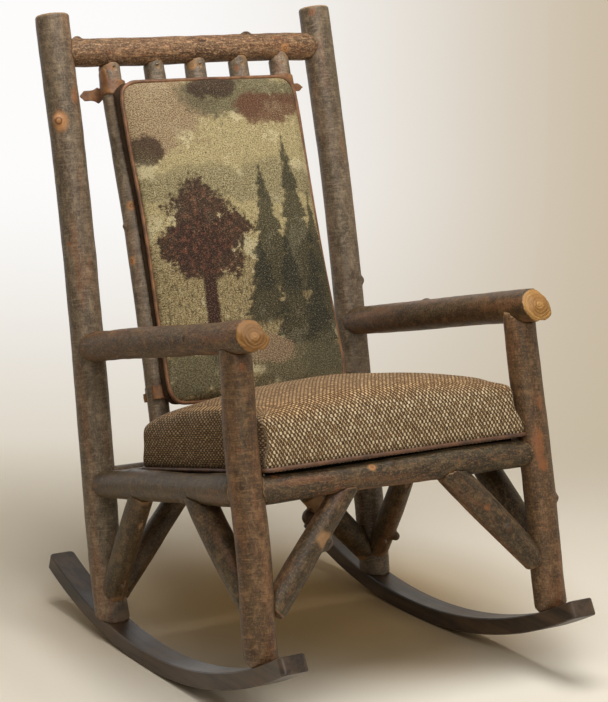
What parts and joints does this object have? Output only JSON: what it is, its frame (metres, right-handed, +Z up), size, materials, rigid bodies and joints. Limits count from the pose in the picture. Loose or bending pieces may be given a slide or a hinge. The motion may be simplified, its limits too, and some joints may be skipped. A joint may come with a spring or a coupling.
{
  "type": "rocking chair",
  "caption": "High-backed rocking chair of bark-on hickory logs with knee braces, bent rockers, a tight upholstered seat and a tied back cushion.",
  "frame": {"origin": "on the floor under the middle of the chair's length and width", "axes": "+Z up, the chair faces -Y, +X to the right as seen from the front"},
  "size_m": [0.637, 0.9266, 1.1391],
  "materials": {
    "hickory_bark": "satin",
    "stained_hickory": "satin",
    "plain_wood": "matte",
    "seat_foam": "matte",
    "cushion_filling": "matte",
    "tweed": "matte",
    "dust_cloth": "matte",
    "tapestry": "matte",
    "backing_cloth": "matte",
    "leather": "satin",
    "steel": "satin"
  },
  "bodies": {
    "root": {"arm_left": "hickory_bark", "arm_right": "hickory_bark", "back_brace_left": "hickory_bark", "back_brace_right": "hickory_bark", "board_screws": "steel", "brace_screws": "steel", "cleat_screws": "steel", "crest_rail": "hickory_bark", "cushion_backing": "backing_cloth", "cushion_cloth": "tapestry", "cushion_filling": "cushion_filling", "cushion_welt": "leather", "front_brace_left": "hickory_bark", "front_brace_right": "hickory_bark", "front_post_left": "hickory_bark", "front_post_right": "hickory_bark", "front_rail": "hickory_bark", "rear_post_left": "hickory_bark", "rear_post_right": "hickory_bark", "rear_rail": "hickory_bark", "rocker_lags": "steel", "rocker_left": "stained_hickory", "rocker_right": "stained_hickory", "seat_board": "plain_wood", "seat_cleat_left": "plain_wood", "seat_cleat_right": "plain_wood", "seat_cover": "tweed", "seat_dust_cover": "dust_cloth", "seat_foam": "seat_foam", "seat_welt": "leather", "side_front_brace_left": "hickory_bark", "side_front_brace_right": "hickory_bark", "side_rail_left": "hickory_bark", "side_rail_right": "hickory_bark", "side_rear_brace_left": "hickory_bark", "side_rear_brace_right": "hickory_bark", "spindle_1": "hickory_bark", "spindle_2": "hickory_bark", "spindle_3": "hickory_bark", "spindle_4": "hickory_bark", "spindle_5": "hickory_bark", "spindle_nails": "steel", "spindle_rail": "hickory_bark", "tie_bottom_left": "leather", "tie_bottom_right": "leather", "tie_top_left": "leather", "tie_top_right": "leather"}
  },
  "joints": []
}
